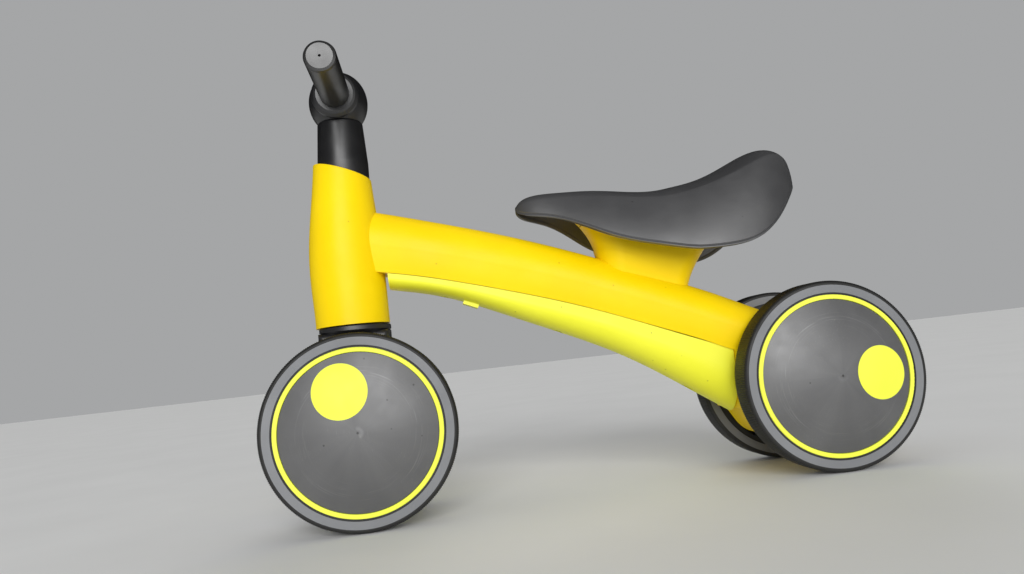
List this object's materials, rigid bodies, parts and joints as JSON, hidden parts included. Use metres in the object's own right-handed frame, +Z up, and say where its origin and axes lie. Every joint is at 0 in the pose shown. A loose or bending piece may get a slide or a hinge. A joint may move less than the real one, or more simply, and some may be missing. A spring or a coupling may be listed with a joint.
{
  "type": "balance bike",
  "caption": "Low four-wheeled toddler balance bike with paired front and rear disc wheels, a curved moulded frame, saddle and T-bar steering.",
  "frame": {"origin": "on the ground, midway between the two axles and on the centre plane", "axes": "+X forward, +Y to the rider's left along the axles, +Z up"},
  "size_m": [0.522, 0.205, 0.3714],
  "materials": {
    "golden_plastic": "satin moulded plastic",
    "lemon_plastic": "satin moulded plastic",
    "black_plastic": "fine matt texture",
    "seat_plastic": "satin, lightly scuffed",
    "disc_plastic": "satin, scratched",
    "wheel_plastic": "matt",
    "tyre": "matt foam rubber",
    "grip_rubber": "smooth, slightly glossy",
    "bush_plastic": "natural nylon",
    "steel": "zinc plated"
  },
  "bodies": {
    "frame": {"cover_screws": "steel", "frame_shell": "golden_plastic", "lower_steering_bush": "bush_plastic", "pedestal_bolts": "steel", "rear_axle": "steel", "rear_axle_nuts": "steel", "rear_axle_sleeve": "steel", "rear_axle_spacers": "steel", "rear_axle_washers": "steel", "seat": "seat_plastic", "seat_pedestal": "golden_plastic", "seat_screws": "steel", "under_cover": "lemon_plastic", "upper_steering_bush": "bush_plastic"},
    "steering_assembly": {"collar_left": "black_plastic", "collar_right": "black_plastic", "fork": "black_plastic", "front_axle": "steel", "front_axle_nuts": "steel", "front_axle_spacers": "steel", "front_axle_washers": "steel", "grip_left": "grip_rubber", "grip_right": "grip_rubber", "handlebar_hub": "black_plastic", "handlebar_tube": "steel", "steerer_tube": "steel", "stem": "black_plastic"},
    "front_left_wheel": {"front_left_accent_dot": "lemon_plastic", "front_left_accent_ring": "lemon_plastic", "front_left_bush": "bush_plastic", "front_left_core": "wheel_plastic", "front_left_cover": "disc_plastic", "front_left_tyre": "tyre"},
    "front_right_wheel": {"front_right_accent_dot": "lemon_plastic", "front_right_accent_ring": "lemon_plastic", "front_right_bush": "bush_plastic", "front_right_core": "wheel_plastic", "front_right_cover": "disc_plastic", "front_right_tyre": "tyre"},
    "rear_left_wheel": {"rear_left_accent_dot": "lemon_plastic", "rear_left_accent_ring": "lemon_plastic", "rear_left_bush": "bush_plastic", "rear_left_core": "wheel_plastic", "rear_left_cover": "disc_plastic", "rear_left_tyre": "tyre"},
    "rear_right_wheel": {"rear_right_accent_dot": "lemon_plastic", "rear_right_accent_ring": "lemon_plastic", "rear_right_bush": "bush_plastic", "rear_right_core": "wheel_plastic", "rear_right_cover": "disc_plastic", "rear_right_tyre": "tyre"}
  },
  "joints": [
    {"name": "steering", "type": "hinge", "parent": "frame", "child": "steering_assembly", "pos_m": [0.18612, 0, 0.16], "axis": [-0.0175, 0, 0.9998], "range_deg": [-67.5, 67.5]},
    {"name": "front_left_spin", "type": "hinge", "parent": "steering_assembly", "child": "front_left_wheel", "pos_m": [0.186, 0, 0.075], "axis": [0, 1, 0], "continuous": true},
    {"name": "front_right_spin", "type": "hinge", "parent": "steering_assembly", "child": "front_right_wheel", "pos_m": [0.186, 0, 0.075], "axis": [0, 1, 0], "continuous": true},
    {"name": "rear_left_spin", "type": "hinge", "parent": "frame", "child": "rear_left_wheel", "pos_m": [-0.186, 0, 0.075], "axis": [0, 1, 0], "continuous": true},
    {"name": "rear_right_spin", "type": "hinge", "parent": "frame", "child": "rear_right_wheel", "pos_m": [-0.186, 0, 0.075], "axis": [0, 1, 0], "continuous": true}
  ]
}
